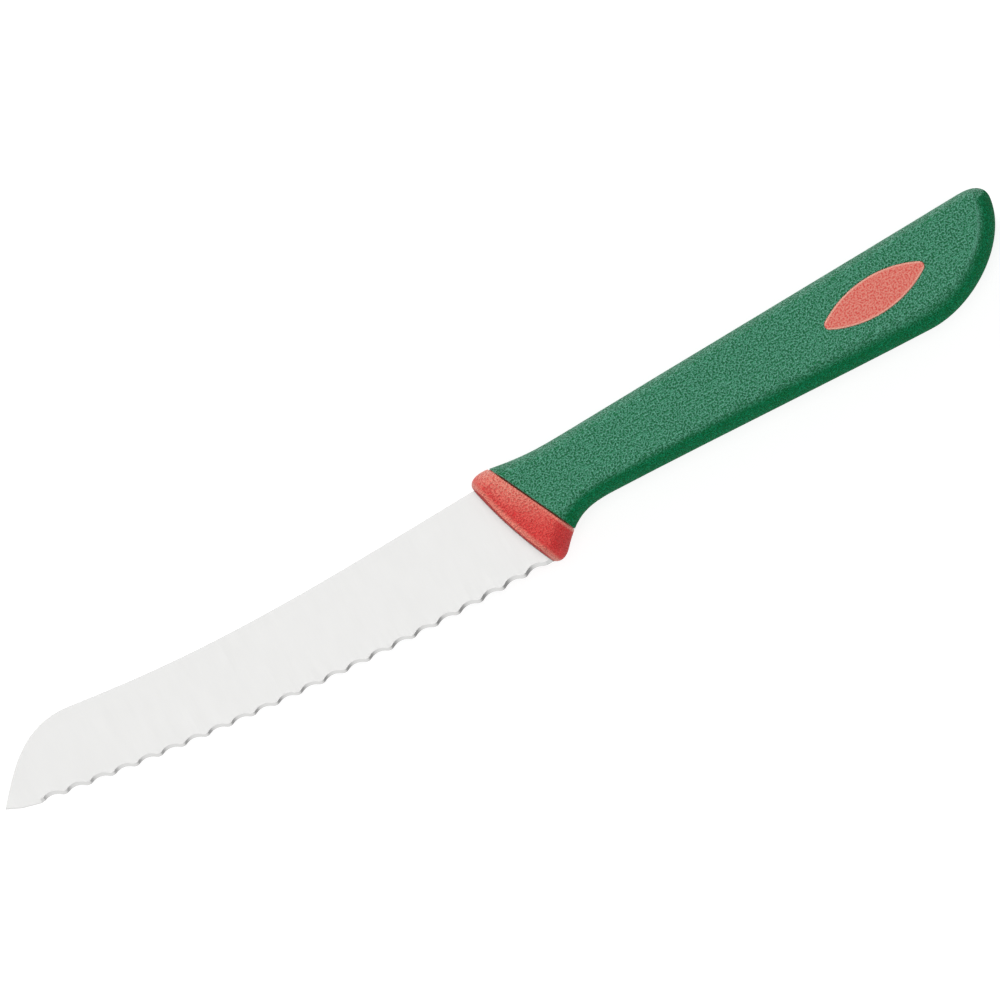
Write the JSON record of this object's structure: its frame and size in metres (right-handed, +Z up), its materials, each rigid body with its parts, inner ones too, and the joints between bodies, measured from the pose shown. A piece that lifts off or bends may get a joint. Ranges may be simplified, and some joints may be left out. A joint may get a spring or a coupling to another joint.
{
  "type": "tomato knife",
  "caption": "Fixed-blade tomato knife: scalloped steel blade with an upswept tip, held in a two-colour moulded handle with a flared finger guard and lens-shaped inlays in its flat sides.",
  "frame": {"origin": "under the middle of the knife's box, on the surface that it lies on", "axes": "knife lying on its right side: +X from the tip towards the butt, +Y from the edge towards the spine, +Z up out of the handle's left flat side"},
  "size_m": [0.238, 0.0262, 0.015],
  "materials": {
    "blade_steel": "fine satin stainless steel",
    "core_plastic": "as moulded, hidden",
    "collar_plastic": "fine moulded grain",
    "grip_plastic": "anti-slip moulded grain",
    "inlay_plastic": "smooth moulded with a light haze"
  },
  "bodies": {
    "root": {"blade": "blade_steel", "handle_core": "core_plastic", "front_collar": "collar_plastic", "grip": "grip_plastic", "left_inlay": "inlay_plastic", "right_inlay": "inlay_plastic"}
  },
  "joints": []
}
